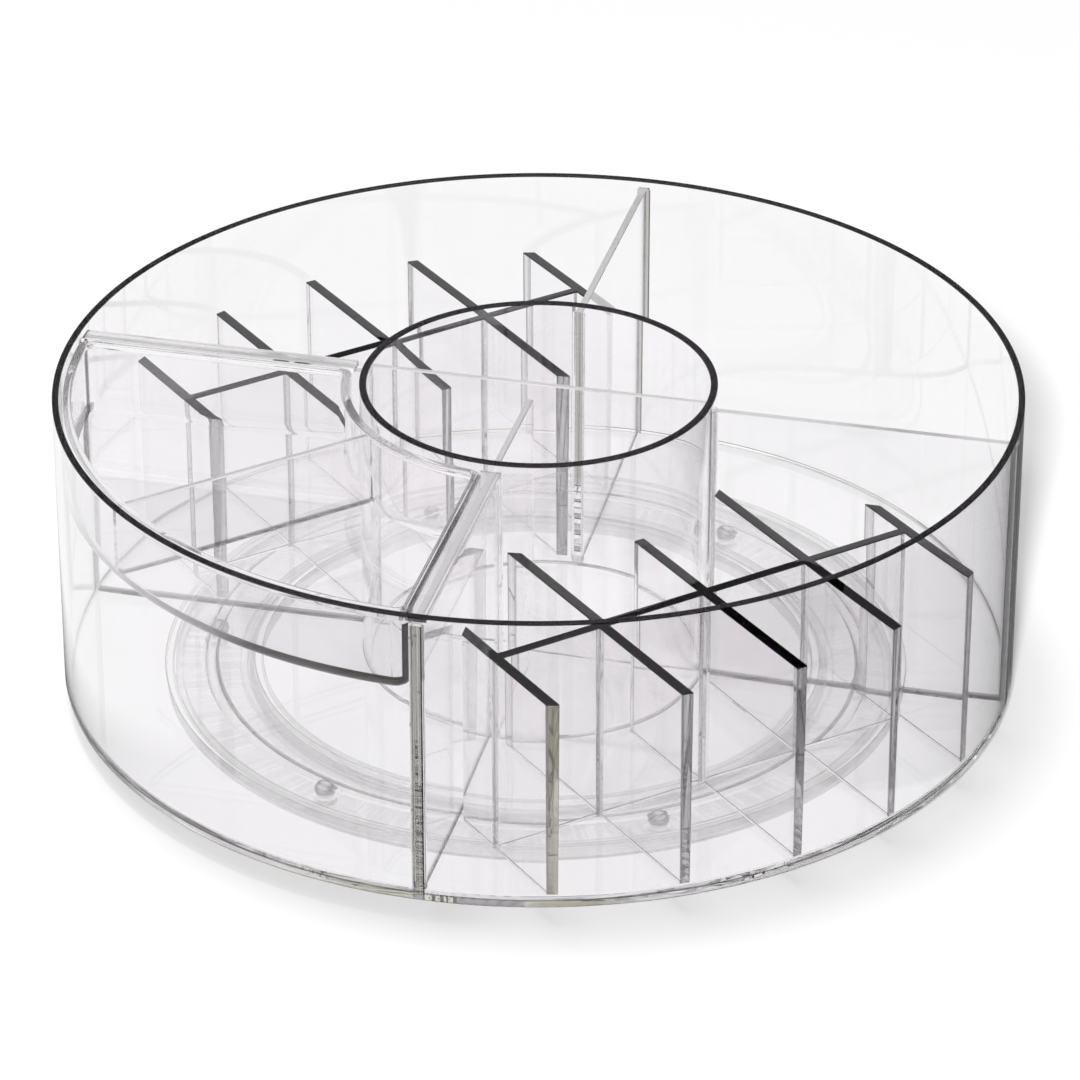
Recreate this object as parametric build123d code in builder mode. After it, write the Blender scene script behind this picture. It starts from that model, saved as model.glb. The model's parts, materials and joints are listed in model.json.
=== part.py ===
from build123d import *
from math import cos, radians, sin, sqrt
import os

# Rotating makeup organizer: a clear drum with four sectors and a centre cup, turning on
# six steel balls over a low base ring. One sector holds a lift-out tray, two hold
# lift-out brush and compact racks, and one is empty. Millimetres, Z up, origin on the
# table under the spin axis, X along the right divider and Y along the back divider.

# Drum
drum_radius = 146.0
drum_height = 94.0
drum_wall = 2.0
floor_thickness = 3.0
rim_edge_radius = 0.3
floor_edge_radius = 1.0
cement_line = 0.05

# Centre cup and dividers
cup_radius = 54.0
cup_wall = 2.2
divider_thickness = 2.2
divider_drop = 3.0
divider_flare = 1.5
cup_divider_thickness = 2.0
cup_divider_drop = 0.8
cup_divider_gap = 10.5

# Bearing
ball_diameter = 6.35
ball_count = 6
ball_first_angle = 5.0
ball_gap = 0.2
groove_depth = 1.0
pocket_floor = 0.8

# Base ring and the rings under the drum floor
base_outer_radius = 112.0
base_inner_radius = 90.0
base_wall = 2.0
base_floor = 2.0
base_wall_clearance = 1.1
ledge_reach = 2.0
ledge_height = 3.0
ledge_thickness = 1.6
skirt_gap = 0.8
skirt_wall = 2.0
skirt_height = 4.9
hub_gap = 0.6
hub_wall = 2.0
hub_lip_reach = 1.8
hub_lip_thickness = 1.4
hub_lip_clearance = 0.6

# Lift-out tray
tray_depth = 25.0
tray_wall = 1.6
tray_floor = 1.8
tray_wall_gap = 1.0
tray_cup_gap = 2.8
tray_side_gap = 1.2
tray_corner_radius = 5.0
tray_bottom_radius = 3.0
lip_thickness = 2.0
lip_overhang = 1.5
tray_partition_thickness = 1.8
tray_partition_drop = 0.8

# Lift-out racks
rack_height = 63.6
rack_plate_thickness = 3.2
rack_spine_thickness = 3.0
rack_pitch = 35.5
rack_plate_count = 5
rack_spine_distance = 93.0
rack_wall_gap = 1.0
rack_cup_gap = 3.0
rack_divider_gap = 1.9
rack_halving_gap = 0.1
back_rack_play = 1.0

# Heights and faces that follow from the sizes above
ball_radius = ball_diameter / 2
pocket_radius = ball_radius + ball_gap
ball_height = pocket_floor + pocket_radius
track_radius = (base_outer_radius + base_inner_radius) / 2
floor_bottom = ball_height + pocket_radius - groove_depth
floor_top = floor_bottom + floor_thickness
rim_height = floor_bottom + drum_height
divider_top = rim_height - divider_drop
drum_inner_radius = drum_radius - drum_wall
cup_inner_radius = cup_radius - cup_wall
tray_top = divider_top + lip_thickness
tray_bottom = tray_top - tray_depth
divider_half = divider_thickness / 2
rack_top = floor_top + rack_height


def turned_plane(angle, height, slide=0.0):
    """A level plane whose X axis points along the angle, slid sideways by slide."""
    turn = radians(angle)
    origin = (-slide * sin(turn), slide * cos(turn), height)
    return Plane(origin=origin, x_dir=(cos(turn), sin(turn), 0), z_dir=(0, 0, 1))


pieces = {}

# Clear drum: floor disc, outer wall, centre cup and its dividers, cemented together

with BuildPart() as drum_floor:
    with BuildSketch(Plane.XY.offset(floor_bottom)):
        Circle(drum_radius)
    extrude(amount=floor_thickness)
    fillet(drum_floor.edges().sort_by(Axis.Z)[0], radius=floor_edge_radius)
    with BuildSketch(Plane.XZ):
        with Locations((track_radius, ball_height)):
            Circle(pocket_radius)
    revolve(axis=Axis.Z, mode=Mode.SUBTRACT)
pieces["drum_floor"] = drum_floor

with BuildPart() as outer_wall:
    with BuildSketch(Plane.XY.offset(floor_top)):
        Circle(drum_radius)
        Circle(drum_inner_radius, mode=Mode.SUBTRACT)
    extrude(amount=rim_height - floor_top)
    fillet(outer_wall.edges().group_by(Axis.Z)[-1], radius=rim_edge_radius)
pieces["outer_wall"] = outer_wall

with BuildPart() as centre_cup:
    with BuildSketch(Plane.XY.offset(floor_top)):
        Circle(cup_radius)
        Circle(cup_inner_radius, mode=Mode.SUBTRACT)
    extrude(amount=rim_height - floor_top)
    fillet(centre_cup.edges().group_by(Axis.Z)[-1], radius=rim_edge_radius)
pieces["centre_cup"] = centre_cup

# Each radial divider spreads into the curved walls at both ends

wall_face = drum_inner_radius - cement_line
cup_face = cup_radius + cement_line
flare_reach = divider_half + divider_flare


def flare_points(face_radius, centre_radius):
    """Where a flare leaves the divider's side, and where it meets the curved wall."""
    along = sqrt(centre_radius**2 - flare_reach**2)
    scale = face_radius / centre_radius
    return (along, divider_half), (along * scale, flare_reach * scale)


for place, angle in {"right": 0, "back": 90, "left": 180, "front": 270}.items():
    with BuildPart() as divider:
        with BuildSketch(turned_plane(angle, floor_top)):
            with BuildLine():
                outer_side, outer_tip = flare_points(wall_face, wall_face - divider_flare)
                inner_side, inner_tip = flare_points(cup_face, cup_face + divider_flare)
                TangentArc(inner_side, inner_tip, tangent=(-1, 0))
                Line(inner_side, outer_side)
                TangentArc(outer_side, outer_tip, tangent=(1, 0))
                mirror(about=Plane.XZ)
                ThreePointArc(inner_tip, (cup_face, 0), (inner_tip[0], -inner_tip[1]))
                ThreePointArc(outer_tip, (wall_face, 0), (outer_tip[0], -outer_tip[1]))
            make_face()
        extrude(amount=divider_top - floor_top)
    pieces[f"{place}_divider"] = divider

cup_divider_height = rim_height - cup_divider_drop - floor_top
cup_face_inside = cup_inner_radius - cement_line

with BuildPart() as long_cup_divider:
    with BuildSketch(Plane.XY.offset(floor_top)):
        Circle(cup_face_inside)
        Rectangle(2 * cup_radius, cup_divider_thickness, mode=Mode.INTERSECT)
    extrude(amount=cup_divider_height)
pieces["long_cup_divider"] = long_cup_divider

with BuildPart() as short_cup_divider:
    with BuildSketch(Plane.XY.offset(floor_top)):
        Circle(cup_face_inside)
        with Locations((0, -cup_divider_gap)):
            Rectangle(
                cup_divider_thickness,
                cup_radius,
                align=(Align.CENTER, Align.MAX),
                mode=Mode.INTERSECT,
            )
    extrude(amount=cup_divider_height)
pieces["short_cup_divider"] = short_cup_divider

# Rings under the floor: an outer skirt that hides the base, and a hub that hooks under it

with BuildPart() as guide_skirt:
    with BuildSketch(Plane.XY.offset(floor_bottom - skirt_height)):
        Circle(base_outer_radius + skirt_gap + skirt_wall)
        Circle(base_outer_radius + skirt_gap, mode=Mode.SUBTRACT)
    extrude(amount=skirt_height)
pieces["guide_skirt"] = guide_skirt

ledge_radius = base_inner_radius - ledge_reach
hub_radius = ledge_radius - hub_gap
hub_lip_top = ledge_height - hub_lip_clearance
hub_lip_bottom = hub_lip_top - hub_lip_thickness

with BuildPart() as hub_ring:
    with BuildSketch(Plane.XY.offset(hub_lip_bottom)):
        Circle(hub_radius)
        Circle(hub_radius - hub_wall, mode=Mode.SUBTRACT)
    extrude(amount=floor_bottom - hub_lip_bottom)
    with BuildSketch(Plane.XY.offset(hub_lip_bottom)):
        Circle(hub_radius + hub_lip_reach)
        Circle(hub_radius, mode=Mode.SUBTRACT)
    extrude(amount=hub_lip_thickness)
pieces["hub_ring"] = hub_ring

# Base ring: a shallow channel with a pocket for each ball and a ledge for the hub's lip

base_wall_top = floor_bottom - base_wall_clearance

with BuildPart() as base_ring:
    with BuildSketch(Plane.XY):
        Circle(base_outer_radius)
        Circle(base_inner_radius, mode=Mode.SUBTRACT)
    extrude(amount=base_wall_top)
    with BuildSketch(Plane.XY.offset(base_floor)):
        Circle(base_outer_radius - base_wall)
        Circle(base_inner_radius + base_wall, mode=Mode.SUBTRACT)
    extrude(amount=base_wall_top - base_floor, mode=Mode.SUBTRACT)
    with BuildSketch(Plane.XY.offset(ledge_height)):
        Circle(base_inner_radius)
        Circle(ledge_radius, mode=Mode.SUBTRACT)
    extrude(amount=ledge_thickness)
    with Locations((0, 0, ball_height)):
        with PolarLocations(track_radius, ball_count, start_angle=ball_first_angle):
            Sphere(pocket_radius, mode=Mode.SUBTRACT)
pieces["base_ring"] = base_ring

for number in range(ball_count):
    ball_angle = ball_first_angle + number * 360 / ball_count
    with BuildPart() as ball:
        with Locations(turned_plane(ball_angle, ball_height)):
            with Locations((track_radius, 0, 0)):
                Sphere(ball_radius)
    pieces[f"ball_{number + 1}"] = ball

# Lift-out tray in the front left sector, hung by its lips on the left and front dividers

tray_outer_radius = drum_inner_radius - tray_wall_gap
tray_inner_radius = cup_radius + tray_cup_gap
tray_side = -divider_half - tray_side_gap
lip_edge = divider_half + lip_overhang

with BuildPart() as tray:
    with BuildSketch(Plane.XY.offset(tray_bottom)) as tray_outline:
        Circle(tray_outer_radius)
        Circle(tray_inner_radius, mode=Mode.SUBTRACT)
        with Locations((tray_side, tray_side)):
            Rectangle(
                drum_radius, drum_radius, align=(Align.MAX, Align.MAX), mode=Mode.INTERSECT
            )
        fillet(tray_outline.vertices(), radius=tray_corner_radius)
    extrude(amount=tray_depth)
    fillet(tray.edges().group_by(Axis.Z)[0], radius=tray_bottom_radius)
    with BuildSketch(Plane.XY.offset(divider_top)):
        Circle(tray_outer_radius)
        Circle(tray_inner_radius, mode=Mode.SUBTRACT)
        with Locations((lip_edge, lip_edge)):
            Rectangle(
                drum_radius, drum_radius, align=(Align.MAX, Align.MAX), mode=Mode.INTERSECT
            )
    extrude(amount=lip_thickness)
    with BuildSketch(Plane.XY.offset(tray_bottom + tray_floor)):
        add(tray_outline.sketch_local)
        offset(amount=-tray_wall, mode=Mode.REPLACE)
    extrude(amount=tray_depth, mode=Mode.SUBTRACT)
pieces["tray"] = tray

# One partition halves the tray along the middle of its sector

tray_angle = 225
partition_start = tray_inner_radius + tray_wall + cement_line
partition_end = tray_outer_radius - tray_wall - cement_line

with BuildPart() as tray_partition:
    with BuildSketch(turned_plane(tray_angle, tray_bottom + tray_floor)):
        Circle(partition_end)
        Circle(partition_start, mode=Mode.SUBTRACT)
        Rectangle(
            drum_radius,
            tray_partition_thickness,
            align=(Align.MIN, Align.CENTER),
            mode=Mode.INTERSECT,
        )
    extrude(amount=tray_depth - tray_floor - tray_partition_drop)
pieces["tray_partition"] = tray_partition

# Two lift-out racks: five upright plates along the sector's middle line, halved into one
# spine that crosses them, all standing on the drum floor

rack_outer_radius = drum_inner_radius - rack_wall_gap
rack_inner_radius = cup_radius + rack_cup_gap
rack_corner = sqrt(2) * (divider_half + rack_divider_gap)
rack_half_length = (rack_plate_count - 1) / 2 * rack_pitch
halving_height = rack_height / 2 + rack_halving_gap
spine_length = 2 * rack_half_length - rack_plate_thickness

for rack, (middle, play) in {"front": (-45, 0.0), "back": (135, -back_rack_play)}.items():
    with BuildPart() as rack_spine:
        with BuildSketch(turned_plane(middle, floor_top, play)):
            with Locations((rack_spine_distance, 0)):
                Rectangle(rack_spine_thickness, spine_length)
        extrude(amount=rack_height)
        with BuildSketch(turned_plane(middle, floor_top, play)):
            with Locations((rack_spine_distance, 0)):
                with GridLocations(0, rack_pitch, 1, rack_plate_count - 2):
                    Rectangle(2 * rack_spine_thickness, rack_plate_thickness)
        extrude(amount=halving_height, mode=Mode.SUBTRACT)
    pieces[f"{rack}_rack_spine"] = rack_spine

    for number in range(rack_plate_count):
        across = number * rack_pitch - rack_half_length
        with BuildPart() as rack_plate:
            with BuildSketch(turned_plane(middle, floor_top, play)):
                Circle(rack_outer_radius)
                Circle(rack_inner_radius, mode=Mode.SUBTRACT)
                with Locations((rack_corner, 0)):
                    Rectangle(
                        drum_radius,
                        drum_radius,
                        rotation=-45,
                        align=(Align.MIN, Align.MIN),
                        mode=Mode.INTERSECT,
                    )
                with Locations((0, across)):
                    Rectangle(2 * drum_radius, rack_plate_thickness, mode=Mode.INTERSECT)
            extrude(amount=rack_height)
            if 0 < number < rack_plate_count - 1:
                with BuildSketch(turned_plane(middle, rack_top, play)):
                    with Locations((rack_spine_distance, across)):
                        Rectangle(rack_spine_thickness, rack_pitch)
                extrude(amount=-halving_height, mode=Mode.SUBTRACT)
        pieces[f"{rack}_rack_plate_{number + 1}"] = rack_plate

# Write every piece

os.makedirs("parts", exist_ok=True)
for name, piece in pieces.items():
    piece.part.label = name
    export_step(piece.part, f"parts/{name}.step")
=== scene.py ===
import bmesh
import bpy
import json
from math import atan2, cos, pi, radians, sin, sqrt, tan
from mathutils import Matrix, Vector


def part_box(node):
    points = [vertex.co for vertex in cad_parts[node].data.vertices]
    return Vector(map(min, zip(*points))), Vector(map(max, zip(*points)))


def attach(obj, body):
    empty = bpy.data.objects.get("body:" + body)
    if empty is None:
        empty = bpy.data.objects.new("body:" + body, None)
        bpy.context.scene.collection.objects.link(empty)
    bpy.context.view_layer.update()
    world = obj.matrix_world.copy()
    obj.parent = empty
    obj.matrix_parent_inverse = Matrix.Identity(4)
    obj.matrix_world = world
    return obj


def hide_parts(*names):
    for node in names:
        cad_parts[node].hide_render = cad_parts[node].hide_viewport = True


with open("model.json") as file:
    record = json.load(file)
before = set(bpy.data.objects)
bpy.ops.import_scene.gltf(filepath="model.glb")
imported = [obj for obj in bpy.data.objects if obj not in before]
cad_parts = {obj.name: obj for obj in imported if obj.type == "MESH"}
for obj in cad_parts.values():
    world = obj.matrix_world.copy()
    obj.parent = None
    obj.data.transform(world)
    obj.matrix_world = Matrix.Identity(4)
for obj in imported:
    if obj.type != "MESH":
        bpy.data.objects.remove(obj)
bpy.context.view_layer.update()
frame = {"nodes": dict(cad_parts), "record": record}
scene = bpy.context.scene
scene.view_settings.view_transform = "Standard"
bodies = frame["record"]["behaviour"]["bodies"]


# Camera
# A long lens on a high tripod looks down on the drum, a little to the right of its front
# divider, so that the walls stay nearly upright in the picture.

view_azimuth = radians(13.6)
view_elevation = radians(29.187)
view_distance = 1.6734
target_aside = 0.00045
target_below_rim = 0.0548
focal_length = 182.5
film_width = 36.0
rim_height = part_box("outer_wall")[1][2]

lens = bpy.data.cameras.new("camera")
lens.lens = focal_length
lens.sensor_width = film_width
camera = bpy.data.objects.new("camera", lens)
scene.collection.objects.link(camera)
target = Vector((
    target_aside * cos(view_azimuth),
    target_aside * sin(view_azimuth),
    rim_height - target_below_rim,
))
towards_camera = Vector((
    sin(view_azimuth) * cos(view_elevation),
    -cos(view_azimuth) * cos(view_elevation),
    sin(view_elevation),
))
camera.location = target + view_distance * towards_camera
camera.rotation_euler = towards_camera.to_track_quat("Z", "Y").to_euler()
scene.camera = camera


# Clear drum
# One body of clear styrene: a floor disc, an outer wall, a centre cup and four dividers,
# moulded, cemented and polished. The turned shell, the dividers and the cup's two bars are
# joined into one skin here, so that light meets no face inside the plastic.

scene.cycles.max_bounces = 128
scene.cycles.transmission_bounces = 48
scene.cycles.glossy_bounces = 128
scene.cycles.transparent_max_bounces = 40
scene.cycles.caustics_refractive = False
scene.cycles.caustics_reflective = False

drum_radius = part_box("outer_wall")[1][0]
drum_wall = 0.002
floor_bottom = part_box("drum_floor")[0][2]
floor_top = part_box("drum_floor")[1][2]
cup_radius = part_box("centre_cup")[1][0]
cup_wall = 0.0022
polished_edge = 0.0003
foot_round = 0.001
inner_round = 0.0005
cement_fillet = 0.0012
divider_half = 0.0011
divider_spread = 0.0015
spread_turn = radians(78)
divider_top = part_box("left_divider")[1][2]
bar_half = 0.001
bar_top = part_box("long_cup_divider")[1][2]
short_bar_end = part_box("short_cup_divider")[1][1]
joined = 0.0008
groove_track = 0.101
groove_radius = 0.003375
groove_centre = 0.004175
skirt_inner, skirt_outer = 0.1128, 0.1148
skirt_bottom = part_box("guide_skirt")[0][2]
hub_inner, hub_outer, hub_lip = 0.0854, 0.0874, 0.0892
hub_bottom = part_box("hub_ring")[0][2]
hub_lip_top = hub_bottom + 0.0014

floor_tint = (0.977, 0.970, 0.978)
wall_tint = (0.977, 0.970, 0.978)
cup_tint = (0.990, 0.984, 0.991)
thin_tint = (0.99, 0.985, 0.991)
# Olive patches along the floor's cut edge.
edge_olive = (0.60, 0.58, 0.38)
shaded_tint = (0.25, 0.24, 0.25)
# Painted shade: grey with darker streaks and a near-black right edge where each divider meets the wall.
seam_shade_grey = (0.40, 0.40, 0.36)
seam_streak_shade = (0.10, 0.10, 0.09)
joint_grey = (0.22, 0.21, 0.22)
# Painted shade: dark lines along the top and the foot of the floor's cut edge.
upper_line_grey = (0.12, 0.12, 0.12)
lower_line_grey = (0.05, 0.05, 0.05)
# Painted glints: dark stripes on the floor's cut edge just right of the front divider.
glint_stripe_dark = (0.06, 0.06, 0.06)
seam_edge_shade = (0.01, 0.01, 0.01)
# Painted shade: near-black on the rims of the wall and the cup, for how dark clear top edges look.
painted_rim_shade = (0.0010, 0.0008, 0.0011)
shadow_tint = (0.62, 0.62, 0.625)
haze_tint = (0.02, 0, 0.01)
plastic_ior = 1.5
flow_relief = 0.000015
sawn = 0.35
dull = 0.25

# Places and reaches of the marks on the drum, and margins around them
fine_margin, margin, wide_margin = 0.0001, 0.0002, 0.0003
level_facing, top_facing = 0.9, 0.3
# Painted light: the walls' tint fades out over this depth below the rim, a lighter band along the top.
rim_light_band = 0.012
dark_edge = 0.0006
upper_line, lower_line = 0.0005, 0.0006
seam_half = 0.0018
seam_right_half = 0.0013
divider_foot = 0.0013
glint_stripes_middle, glint_stripes_reach = 0.007, 0.005
olive_patch_turn, olive_patch_reach, olive_patch_sharpness = -1.27, 0.12, 15
shaded_patch, shaded_patch_reach = -1.43, 0.07
dim_stretch, dim_stretch_reach, dimming = -1.0, 0.55, 0.8
lit_band_half, edge_glow = 0.0009, 0.3
sawn_from = 0.02
lost_in_floor = 0.72
drum_density = 1.5


class Value:
    """A value from a node. Python's operators on it add the Math nodes they stand for."""

    def __init__(self, nodes, socket):
        self.nodes = nodes
        self.socket = socket

    def maths(self, operation, *others):
        return self.nodes.add("ShaderNodeMath", {"operation": operation}, [self, *others])["Value"]

    def __add__(self, other):
        return self.maths("ADD", other)

    __radd__ = __add__

    def __sub__(self, other):
        return self.maths("SUBTRACT", other)

    def __rsub__(self, other):
        return (self * -1) + other

    def __mul__(self, other):
        return self.maths("MULTIPLY", other)

    __rmul__ = __mul__

    def __truediv__(self, other):
        return self.maths("DIVIDE", other)

    def __gt__(self, other):
        return self.maths("GREATER_THAN", other)

    def __lt__(self, other):
        return self.maths("LESS_THAN", other)

    def __abs__(self):
        return self.maths("ABSOLUTE")

    def clamped(self):
        return self.maths("MAXIMUM", 0.0).maths("MINIMUM", 1.0)

    def wave(self, rate, start=0):
        return (self * rate + start).maths("SINE")


class Nodes:
    """Adds nodes to one tree by their type, settings and inputs, and hands back their outputs."""

    def __init__(self, tree):
        self.tree = tree
        tree.nodes.clear()

    def add(self, kind, settings=None, inputs=()):
        node = self.tree.nodes.new(kind)
        for name, value in (settings or {}).items():
            setattr(node, name, value)
        sockets = [socket for socket in node.inputs if socket.enabled]
        named = {socket.name: socket for socket in sockets}
        for key, value in inputs.items() if isinstance(inputs, dict) else enumerate(inputs):
            if isinstance(key, int):
                socket = sockets[key]
            else:
                socket = named.get(key) or node.inputs[key]
            for item in value if isinstance(value, list) else [value]:
                if isinstance(item, Value):
                    self.tree.links.new(item.socket, socket)
                else:
                    socket.default_value = item
        return {socket.name: Value(self, socket) for socket in node.outputs if socket.enabled}


def clear_plastic(name, tint, tones, density, satin=None, glow=None, faint=None):
    """Clear plastic that takes a little light at each wall and more along a path inside it.

    tones(place, facing) gives (mask, colour) pairs, painted shade and highlights among them, that are
    laid over the tint in turn, satin(place, facing) the roughness of what isn't polished, glow(place)
    painted light, given off as emission from a cut edge, and faint(place) how much of a part's outline
    is lost in the plastic's haze.
    """
    material = bpy.data.materials.new(name)
    material.use_nodes = True
    nodes = Nodes(material.node_tree)
    coordinates = nodes.add("ShaderNodeTexCoord")
    place = nodes.add("ShaderNodeSeparateXYZ", None, [coordinates["Object"]])
    facing = nodes.add("ShaderNodeSeparateXYZ", None, [coordinates["Normal"]])
    colour = (*tint, 1)
    for mask, tone in tones(place, facing):
        layers = {"Factor": mask, "A": colour, "B": (*tone, 1)}
        colour = nodes.add("ShaderNodeMix", {"data_type": "RGBA"}, layers)["Result"]
    drawn_out = nodes.add("ShaderNodeMapping", None, {
        "Vector": coordinates["Object"], "Scale": (1, 1, 0.2),
    })["Vector"]
    flow = nodes.add("ShaderNodeTexNoise", None, {"Vector": drawn_out, "Scale": 34, "Detail": 1.5})["Fac"]
    surface = nodes.add("ShaderNodeBump", None, {"Distance": flow_relief, "Height": flow})["Normal"]
    scuffs = nodes.add("ShaderNodeTexNoise", None, {
        "Vector": coordinates["Object"], "Scale": 420, "Detail": 4,
    })["Fac"]
    worn = (scuffs * 0.3 + 0.85) * satin(place, facing) if satin else 0.0
    # Painted light: the glow is an emission on the surface.
    painted_glow = glow(place) if glow else (0, 0, 0, 1)
    polished = nodes.add("ShaderNodeBsdfPrincipled", None, {
        "Base Color": colour, "Roughness": worn, "IOR": plastic_ior, "Transmission Weight": 1.0,
        "Specular IOR Level": 0.25, "Normal": surface, "Emission Color": painted_glow, "Emission Strength": 1.0,
    })["BSDF"]
    if faint:
        unseen = nodes.add("ShaderNodeBsdfTransparent")["BSDF"]
        polished = nodes.add("ShaderNodeMixShader", None, [faint(place), polished, unseen])["Shader"]
    let_through = nodes.add("ShaderNodeBsdfTransparent", None, {"Color": (*shadow_tint, 1)})["BSDF"]
    shadow_ray = nodes.add("ShaderNodeLightPath")["Is Shadow Ray"]
    shader = nodes.add("ShaderNodeMixShader", None, [shadow_ray, polished, let_through])["Shader"]
    depth = nodes.add("ShaderNodeVolumeAbsorption", None, {"Color": (*haze_tint, 1), "Density": density})
    nodes.add("ShaderNodeOutputMaterial", None, {"Surface": shader, "Volume": depth["Volume"]})
    return material


def mesh_object(name, points, faces):
    mesh = bpy.data.meshes.new(name)
    mesh.from_pydata(points, [], faces)
    mesh.validate()
    piece = bpy.data.objects.new(name, mesh)
    scene.collection.objects.link(piece)
    return piece


def arc(centre, radius, start, finish, steps):
    """Points from one bearing to another on a circle, ends included."""
    bearings = [start + (finish - start) * step / steps for step in range(steps + 1)]
    return [(centre[0] + radius * cos(turn), centre[1] + radius * sin(turn)) for turn in bearings]


def rounded(corners, closed=False, steps=5):
    """Turns (x, y, radius) corners into points, each corner rounded to its radius."""
    points = []
    for index, (x, y, radius) in enumerate(corners):
        if radius == 0 or (not closed and index in (0, len(corners) - 1)):
            points.append((x, y))
            continue
        corner = Vector((x, y))
        before = (Vector(corners[index - 1][:2]) - corner).normalized()
        after = (Vector(corners[(index + 1) % len(corners)][:2]) - corner).normalized()
        half_angle = before.angle(after) / 2
        centre = corner + (before + after).normalized() * radius / sin(half_angle)
        first = corner + before * radius / tan(half_angle) - centre
        last = corner + after * radius / tan(half_angle) - centre
        start = atan2(first.y, first.x)
        turn = atan2(first.cross(last), first.dot(last))
        points += arc(centre, radius, start, start + turn, steps)
    return points


def turned(name, profile, segments=360):
    """Turns a profile of (radius, height) points about the Z axis into a closed skin."""
    on_axis = 1e-9
    points = []
    rings = []
    for radius, height in profile:
        if radius < on_axis:
            rings.append([len(points)] * segments)
            points.append((0, 0, height))
        else:
            rings.append(list(range(len(points), len(points) + segments)))
            points += [(x, y, height) for x, y in arc((0, 0), radius, 0, 2 * pi, segments)[:-1]]
    pairs = list(zip(rings, rings[1:]))
    if profile[0][0] > on_axis:
        pairs.append((rings[-1], rings[0]))
    faces = []
    for lower, upper in pairs:
        for index in range(segments):
            after = (index + 1) % segments
            face = list(dict.fromkeys([lower[index], lower[after], upper[after], upper[index]]))
            if len(face) > 2:
                faces.append(face)
    return mesh_object(name, points, faces)


def stacked(name, rings):
    """Joins outlines of equal length, first to last, into a closed skin with flat ends."""
    size = len(rings[0])
    points = [point for ring in rings for point in ring]
    faces = [list(range(size))[::-1], list(range(len(points) - size, len(points)))]
    for level in range(len(rings) - 1):
        for index in range(size):
            lower, after = level * size + index, level * size + (index + 1) % size
            faces.append([lower, after, after + size, lower + size])
    return mesh_object(name, points, faces)


def plain_mesh(piece):
    """Applies a piece's modifiers, and leaves it a plain mesh."""
    graph = bpy.context.evaluated_depsgraph_get()
    mesh = bpy.data.meshes.new_from_object(piece.evaluated_get(graph))
    piece.modifiers.clear()
    piece.data = mesh
    return piece


def fused(piece, others, operation="UNION"):
    """Joins pieces that overlap into one skin, or cuts the others away."""
    for other in others:
        join = piece.modifiers.new("join", "BOOLEAN")
        join.operation = operation
        join.solver = "EXACT"
        join.object = other
    plain_mesh(piece)
    for other in others:
        bpy.data.objects.remove(other)
    return piece


def finished(piece, material, sharp_angle=radians(32)):
    """Merges doubled points, turns the faces outward, and keeps flat faces flat up to their edges."""
    same_spot = 1e-7
    work = bmesh.new()
    work.from_mesh(piece.data)
    bmesh.ops.remove_doubles(work, verts=work.verts, dist=same_spot)
    bmesh.ops.dissolve_degenerate(work, edges=work.edges, dist=same_spot)
    bmesh.ops.recalc_face_normals(work, faces=work.faces)
    for face in work.faces:
        face.smooth = True
    for edge in work.edges:
        edge.smooth = len(edge.link_faces) == 2 and edge.calc_face_angle(0) < sharp_angle
    work.to_mesh(piece.data)
    work.free()
    shading = piece.modifiers.new("shading", "WEIGHTED_NORMAL")
    shading.keep_sharp = True
    plain_mesh(piece)
    piece.data.materials.clear()
    piece.data.materials.append(material)
    return piece


def new_tree(name, sizes):
    """A Geometry Nodes tree whose named inputs start at the given sizes, and its node maker."""
    tree = bpy.data.node_groups.new(name, "GeometryNodeTree")
    tree.interface.new_socket("Geometry", in_out="INPUT", socket_type="NodeSocketGeometry")
    tree.interface.new_socket("Material", in_out="INPUT", socket_type="NodeSocketMaterial")
    for label, size in sizes.items():
        kind = "NodeSocketInt" if isinstance(size, int) else "NodeSocketFloat"
        tree.interface.new_socket(label, in_out="INPUT", socket_type=kind).default_value = size
    tree.interface.new_socket("Geometry", in_out="OUTPUT", socket_type="NodeSocketGeometry")
    return tree, Nodes(tree)


def shaped(piece, tree, values):
    """Runs a Geometry Nodes tree on a piece, with its inputs set by name."""
    run = piece.modifiers.new("shape", "NODES")
    run.node_group = tree
    for item in tree.interface.items_tree:
        if item.in_out == "INPUT" and item.name in values:
            run[item.identifier] = values[item.name]
    return plain_mesh(piece)


def around_axis():
    """A tree that sets copies of a piece at equal turns about the Z axis."""
    tree, nodes = new_tree("around_axis", {"Count": 4, "First turn": 0.0})
    given = nodes.add("NodeGroupInput")
    spots = nodes.add("GeometryNodePoints", None, {"Count": given["Count"]})["Points"]
    turn = nodes.add("GeometryNodeInputIndex")["Index"] * (2 * pi) / given["Count"] + given["First turn"]
    rotation = nodes.add("ShaderNodeCombineXYZ", None, {"Z": turn})["Vector"]
    copies = nodes.add("GeometryNodeInstanceOnPoints", None, {
        "Points": spots, "Instance": given["Geometry"], "Rotation": rotation,
    })["Instances"]
    real = nodes.add("GeometryNodeRealizeInstances", None, {"Geometry": copies})["Geometry"]
    dressed = nodes.add("GeometryNodeSetMaterial", None, {"Geometry": real, "Material": given["Material"]})
    nodes.add("NodeGroupOutput", None, {"Geometry": dressed["Geometry"]})
    return tree


def from_axis(place):
    """How far a spot is from the Z axis."""
    return (place["X"] * place["X"] + place["Y"] * place["Y"]).maths("SQRT")


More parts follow.
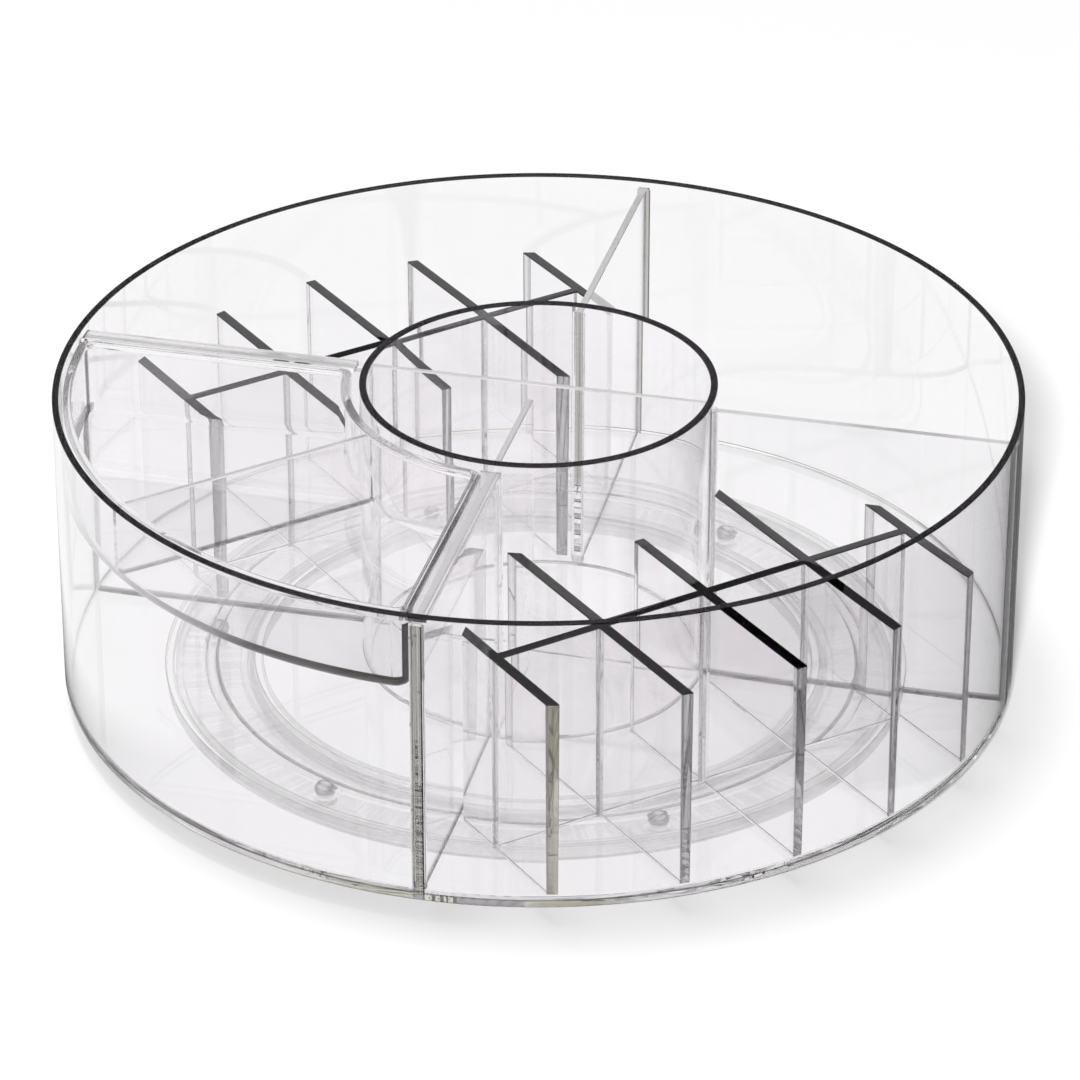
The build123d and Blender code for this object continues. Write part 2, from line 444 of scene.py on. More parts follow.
def drum_tones(place, facing):
    """A deeper tint in the floor and walls, thinned near the rim as a painted light band. Painted shade:
    grey streaked seams where the dividers meet the wall, dark rims, and dark lines, glint stripes and a
    darker stretch on the floor's cut edge. Olive patches on that edge, and dark joints where the dividers
    meet the floor.
    """
    distance = from_axis(place)
    around = place["Y"].maths("ARCTAN2", place["X"])
    aside = abs(place["X"]).maths("MINIMUM", abs(place["Y"]))
    at_skin = distance > drum_radius - wide_margin

    on_cup = distance < cup_radius + margin
    on_floor = (place["Z"] < floor_top + margin) * (abs(facing["Z"]) > level_facing)
    # Painted light: the wall's tint thins out towards the rim.
    below_rim_light = ((rim_height - place["Z"]) / rim_light_band).maths("MINIMUM", 1.0)
    on_wall = (distance > drum_radius - drum_wall - margin) * (place["Z"] > floor_top) * below_rim_light
    # Painted shade on the rims, the top 0.6 mm of the wall and the cup.
    on_rim = place["Z"] > rim_height - dark_edge

    at_sheet = at_skin * (place["Z"] < floor_top)
    # Olive patches along the floor's cut edge, uneven around the drum and strongest at one turn.
    patch = (olive_patch_reach - abs(around - olive_patch_turn)) * olive_patch_sharpness
    olive_patches = at_sheet * ((around.wave(7) + around.wave(3, 1)) * 0.5).maths("MAXIMUM", patch).clamped()
    shaded = at_sheet * (abs(around - shaded_patch) < shaded_patch_reach)
    # Painted shade: dark lines along the top and the foot of the floor's cut edge.
    at_top_line = at_sheet * (place["Z"] > floor_top - upper_line)
    at_foot_line = at_sheet * (place["Z"] < floor_bottom + lower_line)
    # Painted glints: dark stripes on the floor's cut edge just right of the front divider.
    glints = place["X"].wave(3100) + place["X"].wave(1900) > 0.3
    glint_stripes = at_sheet * (abs(place["X"] - glint_stripes_middle) < glint_stripes_reach) * (place["Y"] < 0) * glints

    # Painted shade where each divider meets the wall: grey, darker streaks, and a near-black right edge.
    at_seam = at_skin * (aside < seam_half) * (place["Z"] < divider_top)
    streak = (place["X"].wave(9000) + place["X"].wave(5300, 2)) * 0.3 + 0.4
    rightmost = at_seam * (place["X"] > seam_right_half)
    between_walls = (distance > cup_radius) * (distance < drum_radius - drum_wall)
    low = (place["Z"] > floor_top - fine_margin) * (place["Z"] < floor_top + divider_foot)
    at_foot = (aside < divider_half + margin) * between_walls * low
    return [
        (on_cup, cup_tint),
        (on_floor, floor_tint),
        (on_wall, wall_tint),
        (olive_patches, edge_olive),
        (shaded, shaded_tint),
        (at_top_line, upper_line_grey),
        (at_foot_line, lower_line_grey),
        (glint_stripes, glint_stripe_dark),
        (at_seam, seam_shade_grey),
        (at_seam * streak, seam_streak_shade),
        (rightmost, seam_edge_shade),
        (at_foot, joint_grey),
        (on_rim, painted_rim_shade),
    ]


def drum_satin(place, facing):
    """Sawn top edges on the dividers and bars, and an unpolished underside."""
    above_floor = (place["Z"] > floor_top + sawn_from) * (place["Z"] < rim_height - dark_edge)
    underside = place["Z"] < floor_bottom - fine_margin
    return (facing["Z"] > top_facing) * above_floor * sawn + underside * dull


def under_floor(place):
    """The hub ring and skirt, which are seen only through the floor."""
    return (place["Z"] < floor_bottom - fine_margin) * lost_in_floor


def drum_glow(place):
    """Painted light: emission from the floor's cut edge between its two dark lines, uneven along the edge.
    """
    sheet_middle = (floor_bottom + floor_top) / 2
    between_lines = abs(place["Z"] - sheet_middle) < lit_band_half
    at_skin = from_axis(place) > drum_radius - wide_margin
    around = place["Y"].maths("ARCTAN2", place["X"])
    dim = (abs(around - dim_stretch) < dim_stretch_reach) * dimming
    uneven = around.wave(5) * around.wave(11, 1) * 0.5 + 0.5
    return between_lines * at_skin * (1 - dim) * uneven * edge_glow


groove_half = sqrt(groove_radius ** 2 - (floor_bottom - groove_centre) ** 2)
groove_bearing = atan2(floor_bottom - groove_centre, groove_half)
groove = arc((groove_track, groove_centre), groove_radius, pi - groove_bearing, groove_bearing, 10)
drum_profile = rounded([
    (0, floor_bottom, 0),
    (hub_inner, floor_bottom, inner_round),
    (hub_inner, hub_bottom, polished_edge),
    (hub_lip, hub_bottom, polished_edge),
    (hub_lip, hub_lip_top, polished_edge),
    (hub_outer, hub_lip_top, polished_edge),
    (hub_outer, floor_bottom, inner_round),
    *((x, y, 0) for x, y in groove),
    (skirt_inner, floor_bottom, inner_round),
    (skirt_inner, skirt_bottom, polished_edge),
    (skirt_outer, skirt_bottom, polished_edge),
    (skirt_outer, floor_bottom, inner_round),
    (drum_radius, floor_bottom, foot_round),
    (drum_radius, rim_height, polished_edge),
    (drum_radius - drum_wall, rim_height, polished_edge),
    (drum_radius - drum_wall, floor_top, cement_fillet),
    (cup_radius, floor_top, inner_round),
    (cup_radius, rim_height, polished_edge),
    (cup_radius - cup_wall, rim_height, polished_edge),
    (cup_radius - cup_wall, floor_top, inner_round),
    (0, floor_top, 0),
])
drum = turned("clear_drum", drum_profile)


def divider_side(wall_radius, outwards, inset):
    """The spread of a divider's side onto a curved wall, from its flat face into the wall."""
    aside = divider_half - inset + divider_spread
    along = sqrt((wall_radius - outwards * divider_spread) ** 2 - aside ** 2)
    spread = arc((0, 0), divider_spread, -pi / 2, spread_turn - pi / 2, 6)
    side = [(along + outwards * x, aside + y) for x, y in spread]
    return side + [(wall_radius + outwards * joined, aside)]


def divider_outline(height, inset):
    """A divider's outline along the X axis, drawn in by inset."""
    side = divider_side(cup_radius, -1, inset)[::-1] + divider_side(drum_radius - drum_wall, 1, inset)
    outline = side + [(x, -y) for x, y in side[::-1]]
    return [(x, y, height) for x, y in outline]


top_edge = rounded([
    (floor_top - joined, 0, 0),
    (divider_top, 0, polished_edge),
    (divider_top, divider_half, 0),
])
divider = stacked("divider", [divider_outline(height, inset) for height, inset in top_edge[:-1]])
dividers = shaped(divider, around_axis(), {"Count": 4})


def bar(name, low, high):
    """A straight upright bar between two corners, with its top edges eased."""
    (left, front, bottom), (right, back, top) = low, high
    levels = [(bottom, 0), (top - polished_edge, 0), (top, polished_edge)]
    rings = []
    for height, inset in levels:
        low_x, high_x = left + inset, right - inset
        low_y, high_y = front + inset, back - inset
        corners = [(low_x, low_y), (high_x, low_y), (high_x, high_y), (low_x, high_y)]
        rings.append([(x, y, height) for x, y in corners])
    return stacked(name, rings)


bar_reach = cup_radius - cup_wall + joined
bar_bottom = floor_top - joined
long_bar = bar("long_bar", (-bar_reach, -bar_half, bar_bottom), (bar_reach, bar_half, bar_top))
short_bar = bar("short_bar", (-bar_half, -bar_reach, bar_bottom), (bar_half, short_bar_end, bar_top))
fused(drum, [dividers, long_bar, short_bar])
finished(drum, clear_plastic(
    "drum_plastic", thin_tint, drum_tones, drum_density, drum_satin, drum_glow, under_floor,
))
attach(drum, "drum")
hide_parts(*bodies["drum"])


# Base ring
# A low channel of clear plastic that stays still on the table. Six round pockets hold the
# balls, and a ledge inside hooks over the lip of the drum's hub ring.

base_inner, base_outer = 0.090, 0.112
base_wall = 0.002
base_floor = 0.002
base_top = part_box("base_ring")[1][2]
base_foot_round = 0.0006
channel_round = 0.0008
ledge_round = 0.0002
ledge_inner = 0.088
ledge_bottom, ledge_top = 0.003, 0.0046
first_ball_turn = radians(5)
ball_count = 6
haze_at_foot, haze_fall = 0.70, 12
pocket_clearing = 0.85
base_density = 1.2
base_profile = rounded([
    (base_inner, 0, polished_edge),
    (base_outer, 0, base_foot_round),
    (base_outer, base_top, polished_edge),
    (base_outer - base_wall, base_top, polished_edge),
    (base_outer - base_wall, base_floor, channel_round),
    (base_inner + base_wall, base_floor, channel_round),
    (base_inner + base_wall, base_top, polished_edge),
    (base_inner, base_top, polished_edge),
    (base_inner, ledge_top, ledge_round),
    (ledge_inner, ledge_top, polished_edge),
    (ledge_inner, ledge_bottom, polished_edge),
    (base_inner, ledge_bottom, ledge_round),
], closed=True)
base = turned("clear_base", base_profile)
pole_turn = pi / 2 - 0.05
pocket_rings = []
for radius, height in arc((0, groove_centre), groove_radius, -pole_turn, pole_turn, 24):
    ring = arc((groove_track, 0), radius, 0, 2 * pi, 48)[:-1]
    pocket_rings.append([(x, y, height) for x, y in ring])
pocket = stacked("pocket", pocket_rings)
pockets = shaped(pocket, around_axis(), {"Count": ball_count, "First turn": first_ball_turn})
fused(base, [pockets], "DIFFERENCE")


def base_tones(place, facing):
    """The base has one tint all over."""
    return []


def base_satin(place, facing):
    """The whole base is a little duller than the drum."""
    return dull


def base_haze(place):
    """The base is seen through the drum's floor, more clearly at its foot and in the pockets."""
    turn = place["Y"].maths("ARCTAN2", place["X"]) - first_ball_turn
    along = turn.maths("WRAP", pi / ball_count, -pi / ball_count) * groove_track
    outward = from_axis(place) - groove_track
    in_pocket = (along * along + outward * outward).maths("SQRT") < groove_radius + margin
    return (haze_at_foot - place["Z"] * haze_fall) * (1 - in_pocket * pocket_clearing)


finished(base, clear_plastic(
    "base_plastic", thin_tint, base_tones, base_density, base_satin, None, base_haze,
))
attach(base, "base")
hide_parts("base_ring")


# Bearing balls
# Six polished steel balls, rolled bright by the groove, with a film of faint running marks.
# They run loose in the base's pockets.

dark_steel = (0.66, 0.66, 0.68)
bright_steel = (0.88, 0.88, 0.89)
mark_relief = 0.00002
steel_roughness, mark_roughness = 0.04, 0.08


def rolled_steel():
    """Bright steel with marks too fine to see one by one."""
    material = bpy.data.materials.new("rolled_steel")
    material.use_nodes = True
    nodes = Nodes(material.node_tree)
    place = nodes.add("ShaderNodeTexCoord")["Object"]
    marks = nodes.add("ShaderNodeTexNoise", None, {"Vector": place, "Scale": 900, "Detail": 3})["Fac"]
    tone = nodes.add("ShaderNodeMix", {"data_type": "RGBA"}, {
        "Factor": marks, "A": (*dark_steel, 1), "B": (*bright_steel, 1),
    })["Result"]
    relief = nodes.add("ShaderNodeBump", None, {"Distance": mark_relief, "Height": marks})["Normal"]
    roughness = marks * mark_roughness + steel_roughness
    steel = nodes.add("ShaderNodeBsdfPrincipled", None, {
        "Base Color": tone, "Metallic": 1.0, "Roughness": roughness, "Normal": relief,
    })["BSDF"]
    nodes.add("ShaderNodeOutputMaterial", None, {"Surface": steel})
    return material


steel = rolled_steel()
for number in range(ball_count):
    node = frame["nodes"][f"ball_{number + 1}"]
    node.data.materials.clear()
    node.data.materials.append(steel)


# Lift-out tray
# A shallow moulded basin that hangs from the left and front dividers by two flat lips, with
# one low partition across it. Its rounded bottom edge is painted as a grey line of shade, darkest
# in front, and painted shade also darkens the corner there, the lips' ends and the front bead.

tray_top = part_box("tray")[1][2]
tray_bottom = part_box("tray")[0][2]
tray_outer = -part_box("tray")[0][0]
tray_inner = 0.0568
tray_side = 0.0027
tray_corner = 0.005
tray_wall = 0.0016
tray_bead = 0.0028
tray_bead_depth = 0.0014
tray_floor = 0.0018
tray_bottom_round = 0.003
tray_inside_round = 0.0018
lip_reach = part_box("tray")[1][0]
lip_thickness = 0.002
rest_gap = 0.00003
flat_run = 0.0002
lip_top_round = 0.0007
bead_round = 0.0006
bead_foot_round = 0.0008
partition_half = 0.0009
partition_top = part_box("tray_partition")[1][2]
partition_turn = radians(225)
partition_foot = 0.0008
partition_clear = 0.001
edge_facing = 0.97
edge_band = 0.0036
edge_fade_start, edge_fade = -0.104, 0.05
# Painted shade: grey along the rounded bottom edge, near-black towards the front divider.
bottom_edge_shade = (0.42, 0.41, 0.42)
front_edge_shade = (0.012, 0.010, 0.009)
corner_reach, corner_drop = 0.0048, 0.004
# Painted shade up the basin's corner by the front divider.
corner_shade = (0.004, 0.0038, 0.004)
# Painted shade on the outer ends of the lips.
lip_end_shade = (0.02, 0.02, 0.02)
bead_gap = 0.003
# Painted shade: grey on the front bead, each side of a clear middle line.
front_bead_shade = (0.30, 0.29, 0.30)
sawn_depth, rubbed_depth = 0.0005, 0.0004
rubbed = 0.18
tray_density = 2.0


def basin_outline(inset, height):
    """Outline of the basin, a quarter ring with rounded corners, drawn in by inset."""
    radius = tray_corner - inset
    edge = tray_side + tray_corner
    far = sqrt((tray_outer - tray_corner) ** 2 - edge ** 2)
    near = sqrt((tray_inner + tray_corner) ** 2 - edge ** 2)
    far_turn = atan2(edge, far)
    near_turn = atan2(edge, near)
    outline = arc((far, edge), radius, -pi / 2, far_turn, 8)
    outline += arc((0, 0), tray_outer - inset, far_turn, pi / 2 - far_turn, 80)[1:-1]
    outline += arc((edge, far), radius, pi / 2 - far_turn, pi, 8)
    outline += arc((edge, near), radius, pi, 3 * pi / 2 - near_turn, 8)
    outline += arc((0, 0), tray_inner + inset, pi / 2 - near_turn, near_turn, 48)[1:-1]
    outline += arc((near, edge), radius, pi + near_turn, 3 * pi / 2, 8)
    return [(-x, -y, height) for x, y in outline]


basin_section = rounded([
    (tray_bottom_round + flat_run, tray_bottom, 0),
    (0, tray_bottom, tray_bottom_round),
    (0, tray_top, lip_top_round),
    (tray_bead, tray_top, lip_top_round),
    (tray_bead, tray_top - tray_bead_depth, bead_round),
    (tray_wall, tray_top - 2 * tray_bead_depth, bead_foot_round),
    (tray_wall, tray_bottom + tray_floor, tray_inside_round),
    (tray_wall + tray_inside_round + flat_run, tray_bottom + tray_floor, 0),
], steps=7)
tray = stacked("clear_tray", [basin_outline(inset, height) for inset, height in basin_section])


def lip_outline(inset, height, along_front):
    """Outline of the lip over a divider, between the cup and the wall."""
    steps = 10
    low, high = -(tray_side + tray_wall / 2), lip_reach - inset
    across = [low + (high - low) * step / steps for step in range(steps + 1)]
    outline = [(-sqrt((tray_inner + inset) ** 2 - y ** 2), y) for y in across]
    outline += [(-sqrt((tray_outer - inset) ** 2 - y ** 2), y) for y in across[::-1]]
    if along_front:
        outline = [(y, x) for x, y in outline][::-1]
    return [(x, y, height) for x, y in outline]


lip_bottom = tray_top - lip_thickness + rest_gap
lip_section = rounded([
    (polished_edge, lip_bottom, 0),
    (0, lip_bottom, polished_edge / 2),
    (0, tray_top, polished_edge),
    (polished_edge * 1.1, tray_top, 0),
])
lips = []
for along_front in (False, True):
    rings = [lip_outline(inset, height, along_front) for inset, height in lip_section]
    lips.append(stacked("lip", rings))

partition_ends = (tray_inner + tray_wall * 0.6, tray_outer - tray_wall * 0.6)
partition = bar(
    "partition",
    (partition_ends[0], -partition_half, tray_bottom + tray_floor - joined),
    (partition_ends[1], partition_half, partition_top),
)
partition.data.transform(Matrix.Rotation(partition_turn, 4, "Z"))
fused(tray, [*lips, partition])


def over_lip(place):
    """Where the tray's lips lie, beyond the basin."""
    return (place["X"] > -tray_side).maths("MAXIMUM", place["Y"] > -tray_side)


def tray_tones(place, facing):
    """Painted shade: grey along the outer bottom edge, deeper towards the front divider, and up the corner
    there, with dark lip ends and grey on the front bead; a dark joint at the partition's foot.
    """
    distance = from_axis(place)
    outside = distance > tray_outer - tray_bottom_round
    # Painted shade along the rounded bottom edge, darker towards the front.
    edge = outside * (place["Z"] < tray_bottom + edge_band) * (abs(facing["Z"]) < edge_facing)
    frontward = ((place["X"] - edge_fade_start) / edge_fade).clamped()
    # Painted shade up the corner by the front divider.
    corner = outside * (place["X"] > -corner_reach) * (place["Z"] < tray_top - corner_drop)
    # Painted shade on the outer ends of the lips.
    at_end = (distance > tray_outer - wide_margin) * (place["Z"] > tray_top - lip_thickness)
    lip_end = over_lip(place) * at_end

    # Painted shade on the front bead, leaving its middle line clear.
    off_bead = abs(place["X"] + tray_side + tray_bead / 2)
    in_bead = (off_bead < tray_bead / 2) * (off_bead > margin)
    high = place["Z"] > tray_top - 2 * tray_bead_depth
    front_bead = in_bead * high * (place["Y"] < -tray_inner - bead_gap)

    off_partition = abs(place["X"] - place["Y"]) / sqrt(2)
    above_bottom = place["Z"] > tray_bottom + partition_clear
    low = place["Z"] < tray_bottom + tray_floor + partition_foot
    foot = (off_partition < partition_half + margin) * above_bottom * low
    return [
        (edge, bottom_edge_shade),
        (edge * frontward, front_edge_shade),
        (corner, corner_shade),
        (lip_end, lip_end_shade),
        (front_bead, front_bead_shade),
        (foot, joint_grey),
    ]


def tray_satin(place, facing):
    """The partition's sawn top edge, and the lips, which are rubbed each time the tray is lifted."""
    on_partition = abs(place["Z"] - partition_top) < sawn_depth
    on_lips = over_lip(place) * (place["Z"] > tray_top - rubbed_depth)
    return (facing["Z"] > top_facing) * (on_partition * sawn + on_lips * rubbed)


tray_plastic = clear_plastic("tray_plastic", thin_tint, tray_tones, tray_density, tray_satin)
finished(tray, tray_plastic, sharp_angle=radians(25))
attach(tray, "lift_out_tray")
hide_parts(*bodies["lift_out_tray"])


# Lift-out racks
# Two clear racks that stand on the drum floor, one in front and one behind: five upright
# plates moulded with a little draft, and one spine across them. Their top edges are painted
# dark, and the ends of the plates painted grey with a paler streak, as painted shade and
# highlight for light that only reaches them down the plate. The front rack's first plate end
# has a painted olive reflection.

rack_bottom = floor_top + rest_gap
rack_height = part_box("front_rack_spine")[1][2] - rack_bottom
rack_outer, rack_inner = 0.143, 0.057
rack_pitch = 0.0355
rack_turns = {"front_rack": radians(-45), "back_rack": radians(135)}
rack_slides = {"front_rack": 0.0, "back_rack": -0.001}
rack_easing = 0.00025
rack_tint = (0.986, 0.980, 0.987)
rack_density = 7.0
cut_face = 0.0004
upright_facing, side_facing = 0.5, 0.95
streak_half, olive_half, side_from = 0.0003, 0.0013, 0.0011
# Painted shade: grey plate ends, darker at their sides; a painted highlight as a paler streak in the
# middle.
plate_end_shade = (0.58, 0.57, 0.58)
plate_end_side_shade = (0.34, 0.33, 0.34)
plate_end_streak_light = (0.72, 0.71, 0.72)
# Painted reflection: olive on the end of the front rack's first plate, darker in its middle.
plate_end_olive_reflection = (0.62, 0.61, 0.45)
plate_middle_olive_reflection = (0.40, 0.40, 0.33)
# Painted shade: near-black on the plates' top edges, for how dark clear top edges look.
plate_top_shade = (0.0001, 0.00009, 0.00012)


def rack_tree():
    """A tree that builds a rack along the X axis from its sizes."""
    tree, nodes = new_tree("rack", {
        "Plates": 5,
        "Spacing": rack_pitch,
        "Top thickness": 0.0034,
        "Bottom thickness": 0.0028,
        "Height": rack_height,
        "Spine distance": 0.093,
        "Spine thickness": 0.003,
        "Outer radius": rack_outer,
        "Inner radius": rack_inner,
        "Divider gap": 0.003,
    })
    given = nodes.add("NodeGroupInput")
    height = given["Height"]
    reach = given["Outer radius"] * 2
    raised = nodes.add("ShaderNodeCombineXYZ", None, {"Z": height * 0.5})["Vector"]

    sheet_size = nodes.add("ShaderNodeCombineXYZ", None, [reach, given["Bottom thickness"], height])
    sheet = nodes.add("GeometryNodeMeshCube", None, {"Size": sheet_size["Vector"]})["Mesh"]
    sheet = nodes.add("GeometryNodeTransform", None, {"Geometry": sheet, "Translation": raised})["Geometry"]
    position = nodes.add("GeometryNodeInputPosition")["Position"]
    spot = nodes.add("ShaderNodeSeparateXYZ", None, [position])
    growth = (spot["Z"] > height * 0.5) * (given["Top thickness"] / given["Bottom thickness"] - 1) + 1
    drafted = nodes.add("ShaderNodeCombineXYZ", None, [spot["X"], spot["Y"] * growth, spot["Z"]])["Vector"]
    sheet = nodes.add("GeometryNodeSetPosition", None, {
        "Geometry": sheet, "Position": drafted,
    })["Geometry"]

    half_width = (given["Plates"] - 1) * given["Spacing"] * 0.5
    first = nodes.add("ShaderNodeCombineXYZ", None, {"Y": half_width * -1})["Vector"]
    pitch = nodes.add("ShaderNodeCombineXYZ", None, {"Y": given["Spacing"]})["Vector"]
    row = nodes.add("GeometryNodeMeshLine", None, {
        "Count": given["Plates"], "Start Location": first, "Offset": pitch,
    })["Mesh"]
    plates = nodes.add("GeometryNodeInstanceOnPoints", None, {
        "Points": row, "Instance": sheet,
    })["Instances"]
    plates = nodes.add("GeometryNodeRealizeInstances", None, {"Geometry": plates})["Geometry"]

    spine_size = nodes.add("ShaderNodeCombineXYZ", None, [given["Spine thickness"], half_width * 2, height])
    spine = nodes.add("GeometryNodeMeshCube", None, {"Size": spine_size["Vector"]})["Mesh"]
    spine_spot = nodes.add("ShaderNodeCombineXYZ", None, {"X": given["Spine distance"], "Z": height * 0.5})
    spine = nodes.add("GeometryNodeTransform", None, {
        "Geometry": spine, "Translation": spine_spot["Vector"],
    })["Geometry"]

    def joined_by(operation, inputs):
        settings = {"operation": operation, "solver": "EXACT"}
        return nodes.add("GeometryNodeMeshBoolean", settings, inputs)["Mesh"]

    def post(radius):
        sizes = {"Vertices": 512, "Radius": radius, "Depth": height * 2}
        upright = nodes.add("GeometryNodeMeshCylinder", None, sizes)["Mesh"]
        placed = {"Geometry": upright, "Translation": raised}
        return nodes.add("GeometryNodeTransform", None, placed)["Geometry"]

    rack = joined_by("UNION", {"Mesh 2": [plates, spine]})
    rack = joined_by("INTERSECT", {"Mesh 2": [rack, post(given["Outer radius"])]})
    rack = joined_by("DIFFERENCE", {"Mesh 1": rack, "Mesh 2": [post(given["Inner radius"])]})
    corner_size = nodes.add("ShaderNodeCombineXYZ", None, [reach, reach, height * 2])["Vector"]
    corner = nodes.add("GeometryNodeMeshCube", None, {"Size": corner_size})["Mesh"]
    shift = given["Divider gap"] + given["Outer radius"]
    corner_spot = nodes.add("ShaderNodeCombineXYZ", None, [shift, shift, height * 0.5])["Vector"]
    corner = nodes.add("GeometryNodeTransform", None, {
        "Geometry": corner, "Translation": corner_spot,
    })["Geometry"]
    corner = nodes.add("GeometryNodeTransform", None, {
        "Geometry": corner, "Rotation": (0, 0, -pi / 4),
    })["Geometry"]
    rack = joined_by("INTERSECT", {"Mesh 2": [rack, corner]})
    real = nodes.add("GeometryNodeRealizeInstances", None, {"Geometry": rack})["Geometry"]
    dressed = nodes.add("GeometryNodeSetMaterial", None, {"Geometry": real, "Material": given["Material"]})
    nodes.add("NodeGroupOutput", None, {"Geometry": dressed["Geometry"]})
    return tree


def rack_tones(place, facing):
    """Painted shade: dark top edges, and grey ends on the plates with darker sides; a painted highlight as
    a paler streak between them, and a painted olive reflection on the front rack's first plate end.
    """
    # Painted shade on the plates' top edges.
    top = place["Z"] > rack_bottom + rack_height - rack_easing - fine_margin
    distance = from_axis(place)
    # Painted shade and highlight on the plates' ends.
    at_end = (distance > rack_outer - cut_face).maths("MAXIMUM", distance < rack_inner + cut_face)
    faces_divider = abs(facing["X"]).maths("MAXIMUM", abs(facing["Y"])) > side_facing
    end = at_end.maths("MAXIMUM", faces_divider) * (abs(facing["Z"]) < upright_facing)
    on_back_rack = place["X"] < place["Y"]
    across = (place["X"] + place["Y"]) / sqrt(2) + on_back_rack * rack_slides["back_rack"]
    off_middle = abs(across.maths("WRAP", rack_pitch / 2, -rack_pitch / 2))
    # Painted olive reflection on the front rack's first plate end.
    first = end * (across < rack_pitch * -1.5) * (place["X"] > place["Y"])
    return [
        (end, plate_end_shade),
        (end * (off_middle > side_from), plate_end_side_shade),
        (end * (off_middle < streak_half), plate_end_streak_light),
        (first * (off_middle < olive_half), plate_end_olive_reflection),
        (first * (off_middle < streak_half), plate_middle_olive_reflection),
        (top, plate_top_shade),
    ]


rack_shape = rack_tree()
rack_plastic = clear_plastic("rack_plastic", rack_tint, rack_tones, rack_density)
for body, turn in rack_turns.items():
    rack = bpy.data.objects.new(f"clear_{body}", bpy.data.meshes.new(body))
    scene.collection.objects.link(rack)
    shaped(rack, rack_shape, {"Material": rack_plastic})
    easing = rack.modifiers.new("easing", "BEVEL")
    easing.width = rack_easing
    easing.segments = 2
    easing.limit_method = "ANGLE"
    easing.angle_limit = radians(30)
    easing.use_clamp_overlap = False
    plain_mesh(rack)
    to_sector = Matrix.Rotation(turn, 4, "Z")
    rack.data.transform(to_sector @ Matrix.Translation((0, rack_slides[body], rack_bottom)))
    finished(rack, rack_plastic)
    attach(rack, body)
    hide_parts(*bodies[body])


# Studio
# A pale table under two soft boxes. The plastic mirrors a darker ground, light only at the
# left, and a darker room with a light patch overhead. Two shaded stretches of table, at the
# right and in front, are seen only by way of a reflection.

table_size = 8.0
table_white = (0.8, 0.8, 0.8)
table_glow = 0.07
seen_through, mirrored_ground = 0.98, 0.15
left_light_edge, left_light_fade, left_light = -0.15, 0.02, 0.8
right_shade_edge, right_shade_lean, right_shade_width = 0.1455, 0.125, 0.1695
right_shade_near_fade, right_shade_far_fade = 0.003, 0.04
right_shade_end, right_shade_end_fade = 0.18, 0.02
front_shade_edge = -0.155
right_shade, front_shade = 0.96, 0.52


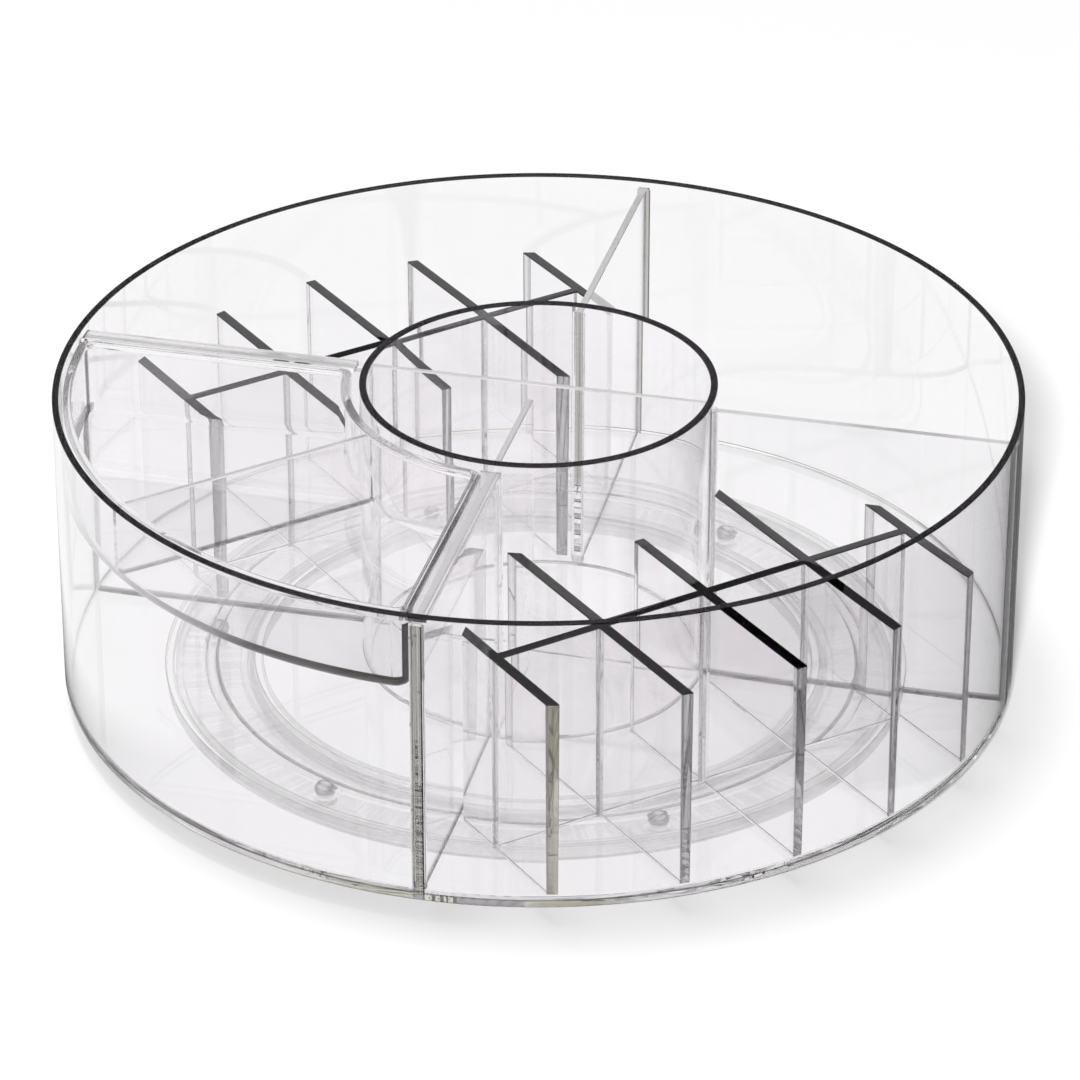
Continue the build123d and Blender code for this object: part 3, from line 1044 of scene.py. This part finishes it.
def pale_table():
    """A white table, with a light stretch and two shaded ones that only the plastic shows."""
    material = bpy.data.materials.new("pale_table")
    material.use_nodes = True
    nodes = Nodes(material.node_tree)
    lit = nodes.add("ShaderNodeBsdfDiffuse", None, {"Color": (*table_white, 1)})["BSDF"]
    glow = nodes.add("ShaderNodeEmission", None, {"Strength": table_glow})["Emission"]
    table = nodes.add("ShaderNodeAddShader", None, [lit, glow])["Shader"]

    place = nodes.add("ShaderNodeTexCoord")["Object"]
    spot = nodes.add("ShaderNodeSeparateXYZ", None, [place])
    rightward = spot["X"] * cos(view_azimuth) + spot["Y"] * sin(view_azimuth)
    away = spot["Y"] * cos(view_azimuth) - spot["X"] * sin(view_azimuth)
    at_left = ((left_light_edge - rightward) / left_light_fade).clamped()
    past_edge = rightward - away * right_shade_lean - right_shade_edge
    near_side = past_edge / right_shade_near_fade
    far_side = (right_shade_width - past_edge) / right_shade_far_fade
    end = (right_shade_end - away) / right_shade_end_fade
    at_right = near_side.maths("MINIMUM", far_side).maths("MINIMUM", end).clamped()
    in_front = away < front_shade_edge

    ray = nodes.add("ShaderNodeLightPath")
    through = ray["Is Transmission Ray"] * (ray["Diffuse Depth"] < 0.5)
    mirrored = ray["Is Glossy Ray"] - ray["Is Transmission Ray"]
    reflected = ray["Glossy Depth"] > 0.5
    shade = (at_right * right_shade + in_front * front_shade) * reflected
    level = mirrored * (at_left * left_light + mirrored_ground) + through * (seen_through - shade)
    plain = nodes.add("ShaderNodeEmission", None, {"Strength": level})["Emission"]
    seen = nodes.add("ShaderNodeMixShader", None, [mirrored + through, table, plain])["Shader"]
    nodes.add("ShaderNodeOutputMaterial", None, {"Surface": seen})
    return material


half_table = table_size / 2
table_corners = [
    (-half_table, -half_table, 0),
    (half_table, -half_table, 0),
    (half_table, half_table, 0),
    (-half_table, half_table, 0),
]
table = mesh_object("table", table_corners, [(0, 1, 2, 3)])
table.data.materials.append(pale_table())

ceiling_through, ceiling_mirrored, ceiling_darkest = 2.2, 0.3, 0.05
overhead_height, overhead_light = 0.8, 0.9
room_light = 0.12
studio = bpy.data.worlds.new("studio")
studio.use_nodes = True
scene.world = studio
nodes = Nodes(studio.node_tree)
ray = nodes.add("ShaderNodeLightPath")
upward = nodes.add("ShaderNodeSeparateXYZ", None, [nodes.add("ShaderNodeTexCoord")["Generated"]])["Z"]
through = ray["Is Transmission Ray"]
mirrored = ray["Is Glossy Ray"] - through
darkening = (1 - upward) * (ceiling_through * through + ceiling_mirrored * mirrored)
ceiling = darkening.maths("MINIMUM", 1.0).maths("MAXIMUM", ceiling_darkest)
overhead = (upward > overhead_height) * overhead_light
on_table = ray["Diffuse Depth"] > 0.5
seen_in_plastic = (ceiling + overhead) * (through + mirrored) * (1 - on_table)
strength = seen_in_plastic + ray["Is Camera Ray"] + on_table * room_light
light = nodes.add("ShaderNodeBackground", None, {"Color": (1, 1, 1, 1), "Strength": strength})["Background"]
nodes.add("ShaderNodeOutputWorld", None, {"Surface": light})


def soft_box(name, towards, distance, size, power):
    """A square lamp that looks at the drum from the given direction, and isn't mirrored in it."""
    lamp = bpy.data.lights.new(name, "AREA")
    lamp.size = size
    lamp.energy = power
    box = bpy.data.objects.new(name, lamp)
    direction = Vector(towards).normalized()
    box.location = direction * distance
    box.rotation_euler = direction.to_track_quat("Z", "Y").to_euler()
    box.visible_glossy = False
    box.visible_transmission = False
    scene.collection.objects.link(box)


box_distance = 8.0
front_direction = (0.106, -0.994, 0.588)
back_direction = (-0.13, 0.07, 1.0)
soft_box("front_box", front_direction, box_distance, size=0.5, power=860)
soft_box("back_box", back_direction, box_distance, size=1.9, power=290)
